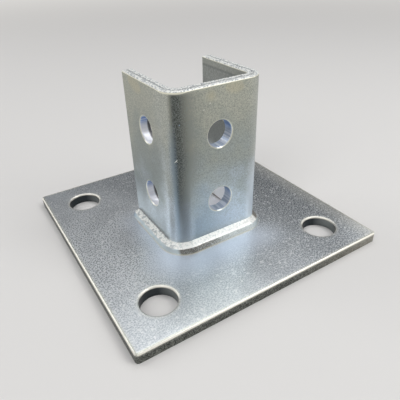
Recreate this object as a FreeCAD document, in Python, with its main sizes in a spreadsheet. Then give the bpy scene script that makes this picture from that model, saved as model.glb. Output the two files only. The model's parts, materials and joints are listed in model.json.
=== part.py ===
"""Strut post base: a square anchor plate with a U-bent stirrup welded upright on its middle.

Millimetres, +Z up. The origin is the centre of the plate's underside. The stirrup's web faces -Y and
its open side faces +Y, so the strut post slides in from +Y or from above and stands over the origin.
"""
import FreeCAD, Part
import math
import os

import Sketcher
from FreeCAD import Vector

# Driving dimensions

SIZES = {
    # Square anchor plate, sheared to size, so its upper edges are rolled over
    "plate_side": 152.4,
    "plate_thickness": 6.0,
    "plate_corner_radius": 2.0,
    "plate_edge_roll": 0.9,
    # Anchor holes, punched from above, one near each corner
    "anchor_hole_diameter": 19.05,
    "anchor_hole_spacing": 107.0,
    "anchor_hole_roll": 0.9,
    # The strut post that the stirrup takes, and the play that lets it slide in
    "strut_side": 41.3,
    "strut_play": 3.0,
    # Stirrup, bent to a U from one strip
    "wall": 6.0,
    "bend_inner_radius": 3.5,
    "flange_depth": 50.8,
    "stirrup_height": 88.9,
    "stirrup_edge_roll": 0.8,
    "socket_edge_break": 0.4,
    # Bolt holes, punched from outside, one above the other on all three sides
    "bolt_hole_diameter": 14.3,
    "first_bolt_height": 25.4,
    "bolt_pitch": 38.1,
    "bolt_hole_break": 0.5,
    # Fillet weld round the outside: its leg runs out over the plate, its rise goes up the wall
    "left_bead_leg": 5.4,
    "left_bead_rise": 3.6,
    "web_bead_leg": 5.4,
    "web_bead_rise": 4.6,
    "right_bead_leg": 2.6,
    "right_bead_rise": 3.2,
    "bead_overrun": 0.6,
    "ripple_pitch": 2.2,
    "ripple_depth": 0.12,
}

OUTER_WIDTH = "(sizes.strut_side + sizes.strut_play + 2 * sizes.wall)"

# Face of the weld bead, a curve from toe to wall that is pulled towards a crest. The crest's place is
# given as shares of leg and rise, and a stronger pull makes it sharper.

CREST_OUT = 0.83
CREST_UP = 0.76
CREST_PULL = 2.0
FACE_STEPS = 7

# Rounded ends of the bead: how far they turn, in how many steps, and how much of the rise they lose

ROUND_END_DEGREES = 80
ROUND_END_STEPS = 5
ROUND_END_FALL = 0.8

# How far the bead reaches into wall and plate before it is trimmed to them

ROOT_OVERLAP = 1.0

TOUCHING = 1e-4


def make_sheet(doc):
    """Writes every driving dimension into a spreadsheet, one aliased cell each."""
    sheet = doc.addObject("Spreadsheet::Sheet", "sizes")
    for row, (alias, value) in enumerate(SIZES.items(), 1):
        sheet.set(f"A{row}", alias)
        sheet.set(f"B{row}", str(value))
        sheet.setAlias(f"B{row}", alias)
    doc.recompute()
    return sheet


# Sketches


def origin_item(body, role):
    """The plane or axis of the body's own origin with that role."""
    return next(item for item in body.Origin.OriginFeatures if item.Role == role)


def new_sketch(body, name, role):
    """A sketch on one of the body's origin planes."""
    sketch = body.newObject("Sketcher::SketchObject", name)
    sketch.AttachmentSupport = (origin_item(body, role), [""])
    sketch.MapMode = "FlatFace"
    return sketch


def tie(sketch, *constraint):
    """Adds a geometric constraint to a sketch."""
    return sketch.addConstraint(Sketcher.Constraint(*constraint))


def bind(sketch, expression, *constraint):
    """Adds a dimension to a sketch and binds it to the sheet."""
    sketch.setExpression(f"Constraints[{tie(sketch, *constraint)}]", expression)


def line(sketch, start, end):
    """Draws a straight line and returns its number."""
    return sketch.addGeometry(Part.LineSegment(Vector(*start, 0), Vector(*end, 0)), False)


def circle(sketch, centre, radius):
    """Draws a circle and returns its number."""
    return sketch.addGeometry(Part.Circle(Vector(*centre, 0), Vector(0, 0, 1), radius), False)


def arc(sketch, centre, radius, first, last):
    """Draws an arc between two angles in degrees and returns its number."""
    whole = Part.Circle(Vector(*centre, 0), Vector(0, 0, 1), radius)
    part = Part.ArcOfCircle(whole, math.radians(first), math.radians(last))
    return sketch.addGeometry(part, False)


# Features


def pocket_through(body, name, profile, both_ways=False):
    """Punches a sketch through the body and stops if that takes nothing away."""
    uncut = body.Shape.Volume
    pocket = body.newObject("PartDesign::Pocket", name)
    pocket.Profile = profile
    pocket.Type = "ThroughAll"
    if both_ways:
        pocket.Midplane = True
    else:
        pocket.Reversed = True
    body.Document.recompute()
    if body.Shape.Volume > uncut - TOUCHING:
        raise ValueError(f"{name} cuts nothing")
    return pocket


def dress_edges(body, name, kind, size, picks):
    """Fillets or chamfers those edges of the body that the test picks, by a size from the sheet."""
    base = body.Tip
    edges = [f"Edge{number}" for number, edge in enumerate(base.Shape.Edges, 1) if picks(edge)]
    if not edges:
        raise ValueError(f"{name} finds no edge")
    feature = body.newObject(f"PartDesign::{kind}", name)
    feature.Base = (base, edges)
    feature.setExpression("Radius" if kind == "Fillet" else "Size", size)
    body.Document.recompute()


def near(one, other):
    """True where two lengths are the same within rounding."""
    return abs(one - other) < TOUCHING


def level(edge, height):
    """True for an edge that lies flat at a height."""
    return near(edge.BoundBox.ZMin, height) and near(edge.BoundBox.ZMax, height)


def upright(edge):
    """True for a straight edge along Z."""
    return near(edge.BoundBox.XLength, 0) and near(edge.BoundBox.YLength, 0)


def hole_rim(edge):
    """True for a whole circle."""
    return edge.isClosed() and not edge.Degenerated and isinstance(edge.Curve, Part.Circle)


# Square anchor plate


def draw_square(sketch, side, expression):
    """A square about the sketch's origin."""
    reach = side / 2
    corners = [(-reach, -reach), (reach, -reach), (reach, reach), (-reach, reach)]
    sides = [line(sketch, start, end) for start, end in zip(corners, corners[1:] + corners[:1])]
    front, right, back, left = sides
    for one, following in zip(sides, sides[1:] + sides[:1]):
        tie(sketch, "Coincident", one, 2, following, 1)
    for flat in (front, back):
        tie(sketch, "Horizontal", flat)
    for tall in (right, left):
        tie(sketch, "Vertical", tall)
    tie(sketch, "Symmetric", front, 1, right, 2, -1, 1)
    bind(sketch, expression, "DistanceX", front, 1, front, 2, side)
    bind(sketch, expression, "DistanceY", right, 1, right, 2, side)


def make_base_plate(doc, sizes):
    """The square plate with four punched anchor holes."""
    body = doc.addObject("PartDesign::Body", "base_plate")
    body.Label = "base_plate"

    outline = new_sketch(body, "plate_outline", "XY_Plane")
    draw_square(outline, sizes.plate_side, "sizes.plate_side")
    blank = body.newObject("PartDesign::Pad", "plate_blank")
    blank.Profile = outline
    blank.setExpression("Length", "sizes.plate_thickness")
    doc.recompute()

    top = sizes.plate_thickness
    dress_edges(body, "plate_corners", "Fillet", "sizes.plate_corner_radius", upright)
    dress_edges(body, "plate_edges", "Fillet", "sizes.plate_edge_roll", lambda edge: level(edge, top))

    reach = sizes.anchor_hole_spacing / 2
    punch = new_sketch(body, "anchor_punch", "XY_Plane")
    hole = circle(punch, (reach, reach), sizes.anchor_hole_diameter / 2)
    bind(punch, "sizes.anchor_hole_spacing / 2", "DistanceX", -1, 1, hole, 3, reach)
    bind(punch, "sizes.anchor_hole_spacing / 2", "DistanceY", -1, 1, hole, 3, reach)
    bind(punch, "sizes.anchor_hole_diameter", "Diameter", hole, sizes.anchor_hole_diameter)
    first_hole = pocket_through(body, "first_anchor_hole", punch)

    holes = body.newObject("PartDesign::PolarPattern", "anchor_holes")
    holes.Originals = [first_hole]
    holes.Axis = (origin_item(body, "Z_Axis"), [""])
    holes.Angle = 360
    holes.Occurrences = 4
    body.Tip = holes
    doc.recompute()

    def top_rim(edge):
        return hole_rim(edge) and level(edge, top)

    dress_edges(body, "anchor_hole_edges", "Fillet", "sizes.anchor_hole_roll", top_rim)
    return body


# U-bent stirrup


def outer_half(sizes):
    """Half the width over both flanges."""
    return (sizes.strut_side + sizes.strut_play) / 2 + sizes.wall


def web_face(sizes):
    """Y of the web's outer face, as far before the origin as the flanges are beside it."""
    return -outer_half(sizes)


def flange_end(sizes):
    """Y of the flanges' free ends."""
    return web_face(sizes) + sizes.flange_depth


def draw_u(sketch, sizes):
    """The stirrup in plan: outer and inner lines with concentric bends."""
    outer = outer_half(sizes)
    inner = outer - sizes.wall
    front = web_face(sizes)
    back = flange_end(sizes)
    inner_radius = sizes.bend_inner_radius
    outer_radius = inner_radius + sizes.wall
    bend_x = outer - outer_radius
    bend_y = front + outer_radius

    left_face = line(sketch, (-outer, back), (-outer, bend_y))
    left_bend = arc(sketch, (-bend_x, bend_y), outer_radius, 180, 270)
    front_face = line(sketch, (-bend_x, front), (bend_x, front))
    right_bend = arc(sketch, (bend_x, bend_y), outer_radius, 270, 360)
    right_face = line(sketch, (outer, bend_y), (outer, back))
    right_end = line(sketch, (outer, back), (inner, back))
    right_inside = line(sketch, (inner, back), (inner, bend_y))
    right_inner_bend = arc(sketch, (bend_x, bend_y), inner_radius, 270, 360)
    web_inside = line(sketch, (bend_x, front + sizes.wall), (-bend_x, front + sizes.wall))
    left_inner_bend = arc(sketch, (-bend_x, bend_y), inner_radius, 180, 270)
    left_inside = line(sketch, (-inner, bend_y), (-inner, back))
    left_end = line(sketch, (-inner, back), (-outer, back))

    tie(sketch, "Tangent", left_face, 2, left_bend, 1)
    tie(sketch, "Tangent", left_bend, 2, front_face, 1)
    tie(sketch, "Tangent", front_face, 2, right_bend, 1)
    tie(sketch, "Tangent", right_bend, 2, right_face, 1)
    tie(sketch, "Coincident", right_face, 2, right_end, 1)
    tie(sketch, "Coincident", right_end, 2, right_inside, 1)
    tie(sketch, "Tangent", right_inside, 2, right_inner_bend, 2)
    tie(sketch, "Tangent", right_inner_bend, 1, web_inside, 1)
    tie(sketch, "Tangent", web_inside, 2, left_inner_bend, 2)
    tie(sketch, "Tangent", left_inner_bend, 1, left_inside, 1)
    tie(sketch, "Coincident", left_inside, 2, left_end, 1)
    tie(sketch, "Coincident", left_end, 2, left_face, 1)
    tie(sketch, "Coincident", left_bend, 3, left_inner_bend, 3)
    tie(sketch, "Coincident", right_bend, 3, right_inner_bend, 3)
    for flat in (front_face, left_end, right_end):
        tie(sketch, "Horizontal", flat)
    for tall in (left_face, right_face):
        tie(sketch, "Vertical", tall)
    tie(sketch, "Symmetric", left_face, 1, right_face, 2, -2)

    outer_radius_cells = "sizes.bend_inner_radius + sizes.wall"
    bind(sketch, OUTER_WIDTH, "DistanceX", left_face, 1, right_face, 2, 2 * outer)
    bind(sketch, f"{OUTER_WIDTH} / 2", "DistanceY", front_face, 1, -1, 1, -front)
    bind(sketch, "sizes.flange_depth", "DistanceY", front_face, 1, left_face, 1, sizes.flange_depth)
    bind(sketch, "sizes.wall", "DistanceX", left_end, 2, left_end, 1, sizes.wall)
    bind(sketch, outer_radius_cells, "Radius", left_bend, outer_radius)
    bind(sketch, outer_radius_cells, "Radius", right_bend, outer_radius)


def draw_bolt_holes(sketch, sizes):
    """Two holes, one above the other on the sketch's upright axis. Returns their numbers."""
    rows = {
        "sizes.first_bolt_height": sizes.first_bolt_height,
        "sizes.first_bolt_height + sizes.bolt_pitch": sizes.first_bolt_height + sizes.bolt_pitch,
    }
    holes = []
    for expression, height in rows.items():
        hole = circle(sketch, (0, height), sizes.bolt_hole_diameter / 2)
        bind(sketch, expression, "DistanceY", -1, 1, hole, 3, height)
        bind(sketch, "sizes.bolt_hole_diameter", "Diameter", hole, sizes.bolt_hole_diameter)
        holes.append(hole)
    return holes


def make_strut_stirrup(doc, sizes):
    """The U-bent strip, standing on the plate, with two bolt holes in each of its three sides."""
    body = doc.addObject("PartDesign::Body", "strut_stirrup")
    body.Label = "strut_stirrup"
    body.setExpression("Placement.Base.z", "sizes.plate_thickness")

    profile = new_sketch(body, "u_profile", "XY_Plane")
    draw_u(profile, sizes)
    strip = body.newObject("PartDesign::Pad", "bent_strip")
    strip.Profile = profile
    strip.setExpression("Length", "sizes.stirrup_height")
    doc.recompute()

    # The web's holes lie on the centre line

    web_punch = new_sketch(body, "web_punch", "XZ_Plane")
    for hole in draw_bolt_holes(web_punch, sizes):
        tie(web_punch, "PointOnObject", hole, 3, -2)
    pocket_through(body, "web_holes", web_punch)

    # The flanges' holes lie on the axis of a strut post that bears on the web

    post_axis = web_face(sizes) + sizes.wall + sizes.strut_side / 2
    post_axis_cells = f"{OUTER_WIDTH} / 2 - sizes.wall - sizes.strut_side / 2"
    flange_punch = new_sketch(body, "flange_punch", "YZ_Plane")
    for hole in draw_bolt_holes(flange_punch, sizes):
        bind(flange_punch, post_axis_cells, "DistanceX", hole, 3, -1, 1, -post_axis)
    pocket_through(body, "flange_holes", flange_punch, both_ways=True)

    outer = outer_half(sizes)
    inner = outer - sizes.wall
    front = web_face(sizes)
    back = flange_end(sizes)
    height = sizes.stirrup_height

    def beside_socket(edge):
        box = edge.BoundBox
        within_flanges = max(box.XMax, -box.XMin) < inner + TOUCHING
        return within_flanges and box.YMin > front + sizes.wall - TOUCHING

    def socket_edge(edge):
        return beside_socket(edge) and (level(edge, height) or level(edge, 0))

    def sheared_edge(edge):
        box = edge.BoundBox
        around_top = level(edge, height) and not beside_socket(edge)
        at_end = upright(edge) and near(box.YMax, back) and near(max(box.XMax, -box.XMin), outer)
        return around_top or at_end

    def outer_rim(edge):
        box = edge.BoundBox
        on_web = near(box.YMin, front) and near(box.YMax, front)
        on_flange = near(box.XLength, 0) and near(abs(box.XMin), outer)
        return (on_web or on_flange) and hole_rim(edge)

    dress_edges(body, "sheared_edges", "Fillet", "sizes.stirrup_edge_roll", sheared_edge)
    dress_edges(body, "socket_edges", "Chamfer", "sizes.socket_edge_break", socket_edge)
    dress_edges(body, "bolt_hole_edges", "Chamfer", "sizes.bolt_hole_break", outer_rim)
    return body


# Fillet weld


def seam_edges(sizes, past_end):
    """The stirrup's outer line in plan, with its flanges drawn past their free ends by a length.

    It runs from the left flange round the web to the right flange.
    """
    outer = outer_half(sizes)
    front = web_face(sizes)
    back = flange_end(sizes) + past_end
    radius = sizes.bend_inner_radius + sizes.wall
    diagonal = radius * (1 - math.sqrt(0.5))

    def bend(side):
        points = [
            Vector(side * outer, front + radius, 0),
            Vector(side * (outer - diagonal), front + diagonal, 0),
            Vector(side * (outer - radius), front, 0),
        ]
        return points if side < 0 else points[::-1]

    left = bend(-1)
    right = bend(1)
    return [
        Part.LineSegment(Vector(-outer, back, 0), left[0]).toShape(),
        Part.Arc(*left).toShape(),
        Part.LineSegment(left[2], right[0]).toShape(),
        Part.Arc(*right).toShape(),
        Part.LineSegment(right[2], Vector(outer, back, 0)).toShape(),
    ]


def seam_place(seam, distance):
    """The point on the wall at a distance along the seam, and the direction out from the wall there."""
    for edge in seam:
        if distance <= edge.Length or edge is seam[-1]:
            break
        distance -= edge.Length
    place = edge.getParameterByLength(min(distance, edge.Length))
    return edge.valueAt(place), edge.tangentAt(place).cross(Vector(0, 0, 1))


def round_end(leg, rise):
    """Distance from the bead's end, leg and rise of each cross-section where the bead rounds off."""
    stations = []
    for step in range(ROUND_END_STEPS):
        angle = math.radians(ROUND_END_DEGREES * (1 - step / ROUND_END_STEPS))
        up = rise * (1 - ROUND_END_FALL * math.sin(angle) ** 3)
        stations.append((leg * (1 - math.sin(angle)), leg * math.cos(angle), up))
    return stations


def bead_stations(seam, sizes):
    """Distance along the seam, leg and rise of each cross-section of the bead.

    Every second section swells by the depth of a ripple. At both ends the bead is round in plan.
    """
    left = (sizes.left_bead_leg, sizes.left_bead_rise)
    web = (sizes.web_bead_leg, sizes.web_bead_rise)
    right = (sizes.right_bead_leg, sizes.right_bead_rise)
    total = sum(edge.Length for edge in seam)
    steady = total - left[0] - right[0]
    steps = 2 * round(steady / sizes.ripple_pitch)

    middle = []
    for step in range(steps + 1):
        distance = left[0] + steady * step / steps
        out = seam_place(seam, distance)[1]
        turned = math.atan2(-out.y, abs(out.x)) / (math.pi / 2)
        web_share = turned * turned * (3 - 2 * turned)
        swell = sizes.ripple_depth * (step % 2)
        flange = left if out.x < 0 else right
        across, up = (end + (full - end) * web_share + swell for end, full in zip(flange, web))
        middle.append((distance, across, up))

    right_end = [(total - distance, across, up) for distance, across, up in reversed(round_end(*right))]
    return round_end(*left) + middle + right_end


def bead_section(point, out, leg, rise):
    """One closed cross-section of the bead, upright and square to the seam."""
    corners = [(-ROOT_OVERLAP, -ROOT_OVERLAP), (leg, -ROOT_OVERLAP)]
    for step in range(FACE_STEPS + 1):
        share = step / FACE_STEPS
        toe = (1 - share) ** 2
        crest = 2 * CREST_PULL * share * (1 - share)
        wall = share**2
        whole = toe + crest + wall
        corners.append((leg * (toe + crest * CREST_OUT) / whole, rise * (wall + crest * CREST_UP) / whole))
    corners.append((-ROOT_OVERLAP, rise))
    points = [point + out * across + Vector(0, 0, up) for across, up in corners]
    return Part.makePolygon(points + points[:1])


def make_weld_bead(doc, sizes):
    """The rippled bead along the outside of flange, web and flange, trimmed to wall and plate."""
    seam = seam_edges(sizes, sizes.bead_overrun)
    sections = []
    for distance, leg, rise in bead_stations(seam, sizes):
        point, out = seam_place(seam, distance)
        sections.append(bead_section(point, out, leg, rise))
    run = Part.makeLoft(sections, True, True)

    outline = seam_edges(sizes, sizes.bead_overrun + ROOT_OVERLAP)
    closing = Part.LineSegment(outline[-1].lastVertex().Point, outline[0].firstVertex().Point)
    floor = Part.Face(Part.Wire(outline + [closing.toShape()]))
    core = floor.extrude(Vector(0, 0, run.BoundBox.ZMax + ROOT_OVERLAP))
    corner = Vector(-sizes.plate_side / 2, -sizes.plate_side / 2, -2 * ROOT_OVERLAP)
    plate = Part.makeBox(sizes.plate_side, sizes.plate_side, 2 * ROOT_OVERLAP, corner)
    bead = run.cut([core, plate])

    feature = doc.addObject("Part::Feature", "weld_bead")
    feature.Label = "weld_bead"
    feature.Shape = bead
    feature.Placement = FreeCAD.Placement(Vector(0, 0, sizes.plate_thickness), FreeCAD.Rotation())
    return feature


def check_document(doc, parts):
    """Stops if any object failed or any sub-part isn't one valid solid."""
    for item in doc.Objects:
        if {"Invalid", "Error"} & set(item.State):
            raise RuntimeError(f"{item.Label} failed: {item.State}")
    for part in parts:
        shape = part.Shape
        if shape.isNull() or not shape.isValid() or len(shape.Solids) != 1:
            raise RuntimeError(f"{part.Label} is not one valid solid")


def main():
    """Builds the document and writes one STEP file for each sub-part."""
    doc = FreeCAD.newDocument("strut_post_base")
    sizes = make_sheet(doc)
    parts = [
        make_base_plate(doc, sizes),
        make_strut_stirrup(doc, sizes),
        make_weld_bead(doc, sizes),
    ]
    doc.recompute()
    check_document(doc, parts)
    os.makedirs("parts", exist_ok=True)
    for part in parts:
        part.Shape.exportStep(os.path.join("parts", f"{part.Label}.step"))
        print(part.Label, round(part.Shape.Volume, 1), "mm3")


main()
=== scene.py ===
"""Finishes a strut post base in zinc-plated steel and sets it on a pale studio floor.

Metres, +Z up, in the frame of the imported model: the origin is the centre of the plate's underside, the
stirrup's web faces -Y and its open side faces +Y.

Each finish is a table of colours, patterns and ramps. A ramp says where a trait of the surface starts and
where it is full, so its numbers stand beside its name, and the finish's methods only join the ramps up.
"""
import json
import logging
import math
from collections.abc import Callable
from dataclasses import dataclass
from enum import Enum

import bmesh
import bpy
from mathutils import Matrix, Vector, noise


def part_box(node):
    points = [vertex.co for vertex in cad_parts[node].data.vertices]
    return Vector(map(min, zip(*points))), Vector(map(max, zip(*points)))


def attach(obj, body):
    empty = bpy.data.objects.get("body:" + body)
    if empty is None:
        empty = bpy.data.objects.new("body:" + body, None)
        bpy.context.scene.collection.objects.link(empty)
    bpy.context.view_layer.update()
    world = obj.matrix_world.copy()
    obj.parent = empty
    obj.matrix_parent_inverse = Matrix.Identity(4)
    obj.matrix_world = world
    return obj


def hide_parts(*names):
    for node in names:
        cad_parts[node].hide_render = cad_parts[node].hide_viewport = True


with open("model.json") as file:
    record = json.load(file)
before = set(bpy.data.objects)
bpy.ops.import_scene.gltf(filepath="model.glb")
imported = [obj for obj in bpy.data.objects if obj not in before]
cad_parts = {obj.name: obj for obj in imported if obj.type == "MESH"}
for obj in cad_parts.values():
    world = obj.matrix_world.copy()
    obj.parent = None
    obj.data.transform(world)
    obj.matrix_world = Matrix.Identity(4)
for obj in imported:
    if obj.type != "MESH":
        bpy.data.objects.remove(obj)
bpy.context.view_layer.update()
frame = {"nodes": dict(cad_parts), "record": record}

LOG = logging.getLogger("strut_post_base")
MM = 0.001
QUARTER_TURN = math.pi / 2

# What the two commonest nodes are set to: laying one colour over another, and an eased ramp
COAT = {"take": 2, "data_type": "RGBA"}
EASED = {"interpolation_type": "SMOOTHSTEP"}

Socket = bpy.types.NodeSocket
Value = float | tuple[float, ...] | Socket
Place = tuple[float, float, float]
Box = tuple[Vector, Vector]


class Node(Enum):
    """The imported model's nodes."""

    PLATE = "base_plate"
    STIRRUP = "strut_stirrup"
    WELD = "weld_bead"

    @property
    def box(self) -> Box:
        """The node's lowest and highest corner."""
        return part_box(self.value)

    def dress(self, material: bpy.types.Material) -> None:
        """Gives the node its finish."""
        frame["nodes"][self.value].material_slots[0].material = material
        LOG.info("%s dressed in %s", self.value, material.name)


class Join(Enum):
    """How masks are joined into one: where all of them overlap, or by the strongest of them."""

    OVERLAP = "MULTIPLY"
    STRONGEST = "MAXIMUM"


def srgb(code: str) -> tuple[float, float, float, float]:
    """Turns an sRGB hex colour into the linear colour that a shader takes.

    Args:
        code: six hex digits after a hash sign.

    Returns:
        Linear red, green, blue and an alpha of 1.
    """
    channels = [int(code[place:place + 2], 16) / 255 for place in (1, 3, 5)]
    linear = [c / 12.92 if c <= 0.04045 else ((c + 0.055) / 1.055) ** 2.4 for c in channels]
    return (*linear, 1.0)


@dataclass(frozen=True)
class Ramp:
    """How a trait follows what it depends on: it goes from first to last between start and end.

    Start and end are metres or shares of what is measured, and may lie either way round.
    """

    start: float
    end: float
    first: float = 0.0
    last: float = 1.0

    def of(self, value: Value) -> dict[int, Value]:
        """What a MapRange node is given to follow a value."""
        return dict(enumerate((value, self.start, self.end, self.first, self.last)))


@dataclass(frozen=True)
class Pattern:
    """A random pattern: the size of its grains in metres, and its number of finer layers."""

    size: float
    layers: float = 0.0

    def on(self, place: Value) -> dict[str, Value]:
        """What a texture node is given to lay the pattern on a place."""
        return {"Vector": place, "Scale": 1 / self.size, "Detail": self.layers}


class ShaderTree:
    """A node tree that is being written, for one material or for the world."""

    def __init__(self, owner: bpy.types.Material | bpy.types.World) -> None:
        """Empties the owner's tree.

        Args:
            owner: the material or world.
        """
        owner.use_nodes = True
        self.owner = owner
        self.tree = owner.node_tree
        self.tree.nodes.clear()

    def add(
        self, kind: str, inputs: dict[int | str, Value], take: int | str = 0, **fields: str | bool,
    ) -> Socket | None:
        """Adds one node with its settings, values and links.

        Args:
            kind: the node's type name without its leading ShaderNode.
            inputs: for each input's name or number, a value or the output that feeds it.
            take: the name or number of the output that is wanted.
            fields: the node's own settings.

        Returns:
            The wanted output, or None for a node that has none.
        """
        node = self.tree.nodes.new("ShaderNode" + kind)
        for name, value in fields.items():
            setattr(node, name, value)
        for key, value in inputs.items():
            if isinstance(value, Socket):
                self.tree.links.new(value, node.inputs[key])
            else:
                node.inputs[key].default_value = value
        return node.outputs[take] if node.outputs else None

    def join(self, how: Join, *masks: Value) -> Value:
        """Joins masks into one.

        Args:
            how: the way they are joined.
            masks: the masks.

        Returns:
            The joined mask.
        """
        joined, *others = masks
        for mask in others:
            joined = self.add("Math", {0: joined, 1: mask}, operation=how.value)
        return joined

    def shown(self) -> Value:
        """Where the surroundings are seen or mirrored, as against where they light the part.

        Returns:
            1 for a ray that shows them, 0 for a ray that gathers light.
        """
        ray = self.add("LightPath", {}).node.outputs
        kinds = ("Is Camera Ray", "Is Glossy Ray", "Is Transmission Ray")
        return self.join(Join.STRONGEST, *(ray[kind] for kind in kinds))


class ZincSkin(ShaderTree):
    """Bright zinc plating on steel, which changes with its place on the part."""

    def __init__(self, name: str) -> None:
        """Starts the material with the place and the facing of the surface.

        Args:
            name: the material's name.
        """
        super().__init__(bpy.data.materials.new(name))
        self.place = self.add("TexCoord", {}, "Object")
        self.x, self.y, self.z = self.add("SeparateXYZ", {0: self.place}).node.outputs
        facing = self.add("NewGeometry", {}, "Normal")
        self.facing_up = self.add("SeparateXYZ", {0: facing}, 2)

    def paint(self, base: Value, *coats: tuple[Value, str]) -> Value:
        """Lays coats of colour over one another.

        Args:
            base: the lowest colour.
            coats: for each coat, where it lies (0 to 1) and its sRGB colour.

        Returns:
            The colour that shows.
        """
        for where, code in coats:
            base = self.add("Mix", {0: where, 6: base, 7: srgb(code)}, **COAT)
        return base

    def band(self, value: Value, middle: float, fade: Ramp) -> Socket:
        """A mask for the places where something that is measured lies near one value.

        Args:
            value: what is measured.
            middle: the value in the band's middle.
            fade: how the mask follows the distance from the middle.

        Returns:
            The mask.
        """
        offset = self.add("Math", {0: value, 1: middle}, operation="SUBTRACT")
        distance = self.add("Math", {0: offset}, operation="ABSOLUTE")
        return self.add("MapRange", fade.of(distance), **EASED)

    def zone(self, middle: Place, fade: Ramp) -> Socket:
        """A mask for the surroundings of one place, which follows the distance from it as fade says."""
        distance = self.add("VectorMath", {0: self.place, 1: middle}, "Value", operation="DISTANCE")
        return self.add("MapRange", fade.of(distance), **EASED)

    def stroke(self, start: Place, end: Place, width: float) -> Socket:
        """A mask for a narrow mark between two places, or for a round spot where they are one place.

        It is where the distances to both ends add up to little more than the mark's length.

        Args:
            start: one end, in millimetres.
            end: the other end, in millimetres.
            width: the mark's width, in millimetres.

        Returns:
            The mask.
        """
        length = math.dist(start, end)
        tips = [tuple(c * MM for c in tip) for tip in (start, end)]
        first, last = (
            self.add("VectorMath", {0: self.place, 1: tip}, "Value", operation="DISTANCE") for tip in tips
        )
        way = self.add("Math", {0: first, 1: last}, operation="ADD")
        widest = math.hypot(length, width)
        return self.add("MapRange", Ramp(widest * MM, length * MM).of(way), **EASED)

    def finish(self, colour: Value, roughness: Value, bump: Socket, metallic: Value) -> bpy.types.Material:
        """Closes the tree with a metal shader.

        Args:
            colour: the plating's colour.
            roughness: its roughness.
            bump: height of the surface, in metres.
            metallic: 1 where the zinc is bright, less where it is hazy or a matte crust.

        Returns:
            The finished material.
        """
        normal = self.add("Bump", {"Height": bump, "Distance": 1.0})
        surface = self.add(
            "BsdfPrincipled",
            {"Base Color": colour, "Metallic": metallic, "Roughness": roughness, "Normal": normal},
        )
        self.add("OutputMaterial", {"Surface": surface})
        return self.owner


@dataclass
class AnchorPlate:
    """The square plate with its four anchor holes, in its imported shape."""

    half_side: float
    hole_reach: float
    hole_radius: float

    def dress(self, weld: Box) -> None:
        """Gives the plate its finish, which the weld has tinted round its box."""
        Node.PLATE.dress(PlateFinish().build(self, weld))


class PlateSkin(ZincSkin):
    """The plate's plating, with how far each place lies from the plate's edges, its holes and the weld."""

    # The corner radius of the weld's toe, and how far inside that toe the socket's floor is taken to start
    weld_corner: float = 14.5 * MM
    wall_inset: float = 8 * MM

    def __init__(self, name: str, plate: AnchorPlate, weld: Box) -> None:
        """Measures the plate.

        Args:
            name: the material's name.
            plate: the plate's sizes.
            weld: the weld's box.
        """
        super().__init__(name)
        folded = self.add("VectorMath", {0: self.place}, operation="ABSOLUTE")
        side_x, side_y, _ = self.add("SeparateXYZ", {0: folded}).node.outputs
        farthest = self.add("Math", {0: side_x, 1: side_y}, operation="MAXIMUM")
        self.from_edge = self.add("Math", {0: plate.half_side, 1: farthest}, operation="SUBTRACT")

        reach = plate.hole_reach
        shifted = [self.add("Math", {0: side, 1: reach}, operation="SUBTRACT") for side in (self.x, self.y)]
        self.across, along = (
            self.add("Math", {0: side, 1: reach, 2: -reach}, operation="WRAP") for side in shifted
        )
        self.from_hole = self.add("CombineXYZ", {0: self.across, 1: along})
        radius = self.add("VectorMath", {0: self.from_hole}, "Value", operation="LENGTH")
        self.off_hole = self.add("Math", {0: radius, 1: plate.hole_radius}, operation="SUBTRACT")

        low, high = weld
        within = self.add("Math", {0: side_x, 1: high.x - self.wall_inset}, operation="LESS_THAN")
        behind = self.add("Math", {0: self.y, 1: low.y + self.wall_inset}, operation="GREATER_THAN")
        self.in_socket = self.join(Join.OVERLAP, within, behind)
        self.beyond_weld = self.measure_weld(low, high)

    def measure_weld(self, low: Vector, high: Vector) -> Socket:
        """How far a place on the plate lies outside the weld's toe.

        Args:
            low: the weld's lowest corner.
            high: its highest corner.

        Returns:
            The distance in metres, less than 0 under the weld.
        """
        middle = (low + high) / 2
        half = (high - low) / 2
        straight = (half.x - self.weld_corner, half.y - self.weld_corner, 1.0)
        offset = self.add("VectorMath", {0: self.place, 1: (middle.x, middle.y, 0.0)}, operation="SUBTRACT")
        folded = self.add("VectorMath", {0: offset}, operation="ABSOLUTE")
        past = self.add("VectorMath", {0: folded, 1: straight}, operation="SUBTRACT")
        outside = self.add("VectorMath", {0: past, 1: (0.0, 0.0, 0.0)}, operation="MAXIMUM")
        length = self.add("VectorMath", {0: outside}, "Value", operation="LENGTH")
        return self.add("Math", {0: length, 1: self.weld_corner}, operation="SUBTRACT")


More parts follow.
